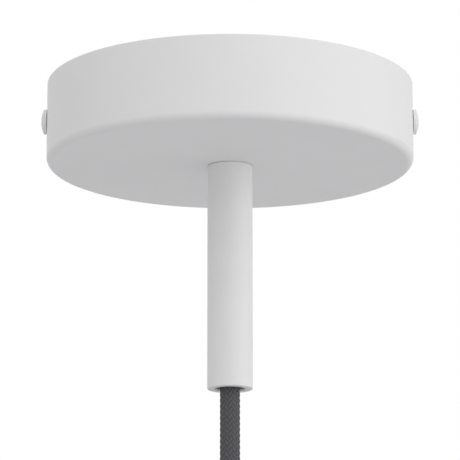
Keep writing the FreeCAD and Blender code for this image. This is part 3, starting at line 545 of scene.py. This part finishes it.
# Tinned copper, crimped flat in places: soft grey-white metal.
CRIMP_BAND = 4 * MM
tinned, tree, shader, spot = new_material("tinned_copper", {"Metallic": 1.0, "Roughness": 0.35})
crimp = add_node(tree, "ShaderNodeTexWave", {
    "Vector": spot, "Scale": 1 / CRIMP_BAND,
}, bands_direction="Z")
tone = add_node(tree, "ShaderNodeMix", {
    "Factor": crimp.outputs["Fac"], "A": linear("#A7A6A3"), "B": linear("#CBCAC7"),
}, data_type="RGBA")
tree.links.new(tone.outputs["Result"], shader.inputs["Base Color"])
dress(tinned, *(f"{kind}_{pole}" for kind in ("ferrule", "end_ferrule") for pole in POLES))

CORE_RADIUS = 1.15 * MM
CORE_RINGS, CORE_AROUND = 60, 24
insulations = {
    "brown": insulation("brown_insulation", "#6A3D22"),
    "blue": insulation("blue_insulation", "#2E62B4"),
    "earth": insulation("green_yellow_insulation", "#2F8A43", "#E2C823"),
}
# Control points of the cores, below the cord and between the cord and the terminal block.
CORD_CORE_ROUTES = {
    "brown": ((-0.0007, -0.00121, -0.186), (-0.0007, -0.00121, -0.194),
              (-0.00226, -0.00392, -0.21375)),
    "blue": ((0.0014, 0, -0.186), (0.0014, 0, -0.194), (0.00453, 0, -0.21375)),
    "earth": ((-0.0007, 0.00121, -0.186), (-0.0007, 0.00121, -0.194),
              (-0.00226, 0.00392, -0.21375)),
}
BLOCK_CORE_ROUTES = {
    "brown": ((-0.0007, -0.00121, -0.013), (-0.0007, -0.00121, -0.0077), (0.011, -0.012, -0.0077),
              (0.017, -0.012, -0.0077)),
    "blue": ((0.0014, 0, -0.013), (0.0014, 0, -0.0077), (0.011, 0, -0.0077), (0.017, 0, -0.0077)),
    "earth": ((-0.0007, 0.00121, -0.013), (-0.0007, 0.00121, -0.0077), (0.011, 0.012, -0.0077),
              (0.017, 0.012, -0.0077)),
}
end_pieces = [sleeve]
for prefix, routes in (("end_core", CORD_CORE_ROUTES), ("core", BLOCK_CORE_ROUTES)):
    for pole, route in routes.items():
        line = read_line(route, CORE_RINGS)
        core = wrap_line(f"insulated_{prefix}_{pole}", line,
                         np.full((CORE_RINGS + 1, CORE_AROUND), CORE_RADIUS))
        core.data.materials.append(insulations[pole])
        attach(core, "rose")
        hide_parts(f"{prefix}_{pole}")
        if prefix == "end_core":
            end_pieces += [core, nodes[f"end_ferrule_{pole}"]]

read_line(HANGING_ROUTE, 60).tolist()


# Side screws
# M4 steel screws with a lacquered pan head and a cross recess, which go through the cup's wall into
# the bracket's tabs. The screw is modelled upright, its head's seat at zero, and laid along X.

THREAD_RADIUS = 2.0 * MM
THREAD_ROOT = 1.57 * MM
PITCH = 0.7 * MM
# Heights within one pitch of the thread's profile.
FLANK_START, CREST_START, CREST_END = 0.12 * PITCH, 0.5 * PITCH, 0.62 * PITCH
THREAD_LIFT = 0.3 * PITCH
THREAD_STEPS = 32
TIP_CHAMFER = 0.4 * MM
SHANK = 8.0 * MM
# The thread starts one pitch below the head, and the plain neck reaches a little way into it.
NECK = 1.1 * PITCH
HEAD_RADIUS = 4.1 * MM
HEAD_EDGE = 1.0 * MM
HEAD_HEIGHT = 1.9 * MM
HEAD_STEPS, DOME_POINTS = 64, 9
HEAD_ROUNDING = 0.12 * MM
RECESS_SPAN, RECESS_WIDTH, RECESS_DEPTH = 4.0 * MM, 0.8 * MM, 1.1 * MM
RECESS_TAPER = 0.4
SEAT_MARGIN = 0.01 * MM
WELD = 0.004 * MM


def edit(piece):
    """Select one piece alone and open it in edit mode with all of it selected."""
    bpy.ops.object.select_all(action="DESELECT")
    bpy.context.view_layer.objects.active = piece
    piece.select_set(True)
    bpy.ops.object.mode_set(mode="EDIT")
    bpy.ops.mesh.select_all(action="SELECT")


def outline(name, points):
    """Piece that is only an open chain of edges in the XZ plane."""
    mesh = bpy.data.meshes.new(name)
    edges = [(start, start + 1) for start in range(len(points) - 1)]
    mesh.from_pydata([(x, 0, z) for x, z in points], edges, [])
    piece = bpy.data.objects.new(name, mesh)
    scene.collection.objects.link(piece)
    return piece


turns = math.ceil(SHANK / PITCH) + 1
thread = outline("thread", (
    (THREAD_ROOT, 0), (THREAD_ROOT, FLANK_START), (THREAD_RADIUS, CREST_START),
    (THREAD_RADIUS, CREST_END), (THREAD_ROOT, PITCH),
))
helix = thread.modifiers.new("helix", "SCREW")
helix.screw_offset = PITCH
helix.iterations = turns
helix.steps = helix.render_steps = THREAD_STEPS
bpy.context.view_layer.objects.active = thread
bpy.ops.object.modifier_apply(modifier="helix")
edit(thread)
bpy.ops.mesh.remove_doubles(threshold=WELD)
bpy.ops.transform.translate(value=(0, 0, -turns * PITCH + THREAD_LIFT))
bpy.ops.mesh.bisect(plane_co=(0, 0, -SHANK), plane_no=(0, 0, 1), use_fill=True, clear_inner=True,
                    threshold=WELD)
bpy.ops.mesh.select_all(action="SELECT")
bpy.ops.mesh.bisect(plane_co=(0, 0, -PITCH), plane_no=(0, 0, 1), use_fill=True, clear_outer=True,
                    threshold=WELD)
bpy.ops.mesh.select_all(action="SELECT")
bpy.ops.mesh.normals_make_consistent(inside=False)
bpy.ops.object.mode_set(mode="OBJECT")
for vertex in thread.data.vertices:
    reach = math.hypot(vertex.co.x, vertex.co.y)
    limit = THREAD_RADIUS - TIP_CHAMFER + (vertex.co.z + SHANK)
    if reach > limit:
        vertex.co.x *= limit / reach
        vertex.co.y *= limit / reach

dome_rise = HEAD_HEIGHT - HEAD_EDGE
dome_radius = (HEAD_RADIUS ** 2 + dome_rise ** 2) / (2 * dome_rise)
dome = [(r, HEAD_HEIGHT - dome_radius + math.sqrt(dome_radius ** 2 - r ** 2))
        for r in np.linspace(HEAD_RADIUS, 0, DOME_POINTS)]
head = outline("head", [
    (0, -NECK), (THREAD_ROOT, -NECK), (THREAD_ROOT, 0), (HEAD_RADIUS, 0), *dome,
])
edit(head)
bpy.ops.mesh.spin(steps=HEAD_STEPS, angle=2 * math.pi, center=(0, 0, 0), axis=(0, 0, 1))
bpy.ops.mesh.select_all(action="SELECT")
bpy.ops.mesh.remove_doubles(threshold=WELD)
bpy.ops.mesh.normals_make_consistent(inside=False)
bpy.ops.object.mode_set(mode="OBJECT")

for turn in (0, math.pi / 2):
    bpy.ops.mesh.primitive_cube_add(size=1, location=(0, 0, HEAD_HEIGHT))
    wing = bpy.context.object
    wing.scale = (RECESS_SPAN, RECESS_WIDTH, 2 * RECESS_DEPTH)
    wing.rotation_euler.z = turn
    bpy.ops.object.transform_apply(location=True, rotation=True, scale=True)
    for vertex in wing.data.vertices:
        spread = 1.0 + RECESS_TAPER * (vertex.co.z - HEAD_HEIGHT) / RECESS_DEPTH
        vertex.co.x *= spread
        vertex.co.y *= spread
    recess = head.modifiers.new("recess", "BOOLEAN")
    recess.operation = "DIFFERENCE"
    recess.solver = "EXACT"
    recess.object = wing
    bpy.context.view_layer.objects.active = head
    bpy.ops.object.modifier_apply(modifier="recess")
    bpy.data.objects.remove(wing)
rounding = head.modifiers.new("rounding", "BEVEL")
rounding.width = HEAD_ROUNDING
rounding.segments = 2
rounding.limit_method = "ANGLE"
rounding.angle_limit = math.radians(40)
bpy.context.view_layer.objects.active = head
bpy.ops.object.modifier_apply(modifier="rounding")
edit(head)
bpy.ops.mesh.remove_doubles(threshold=WELD)
bpy.ops.object.mode_set(mode="OBJECT")

for piece in (head, thread):
    piece.data.materials.append(coat)
    piece.data.materials.append(zinc)
for polygon in head.data.polygons:
    polygon.material_index = 1 if polygon.center.z < -SEAT_MARGIN else 0
for polygon in thread.data.polygons:
    polygon.material_index = 1
bpy.ops.object.select_all(action="DESELECT")
head.select_set(True)
thread.select_set(True)
bpy.context.view_layer.objects.active = head
bpy.ops.object.join()
bpy.ops.object.shade_smooth_by_angle(angle=math.radians(35))

for side, sign in (("right", 1), ("left", -1)):
    node = f"side_screw_{side}"
    low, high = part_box(node)
    seat_x = (high.x - HEAD_HEIGHT) if sign > 0 else (low.x + HEAD_HEIGHT)
    screw = bpy.data.objects.new(f"lacquered_screw_{side}", head.data.copy())
    scene.collection.objects.link(screw)
    screw.data.transform(Matrix.Translation((seat_x, 0, (low.z + high.z) / 2))
                         @ Matrix.Rotation(sign * math.pi / 2, 4, "Y"))
    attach(screw, f"{side}_screw")
    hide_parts(node)
bpy.data.objects.remove(head)


low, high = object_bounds()
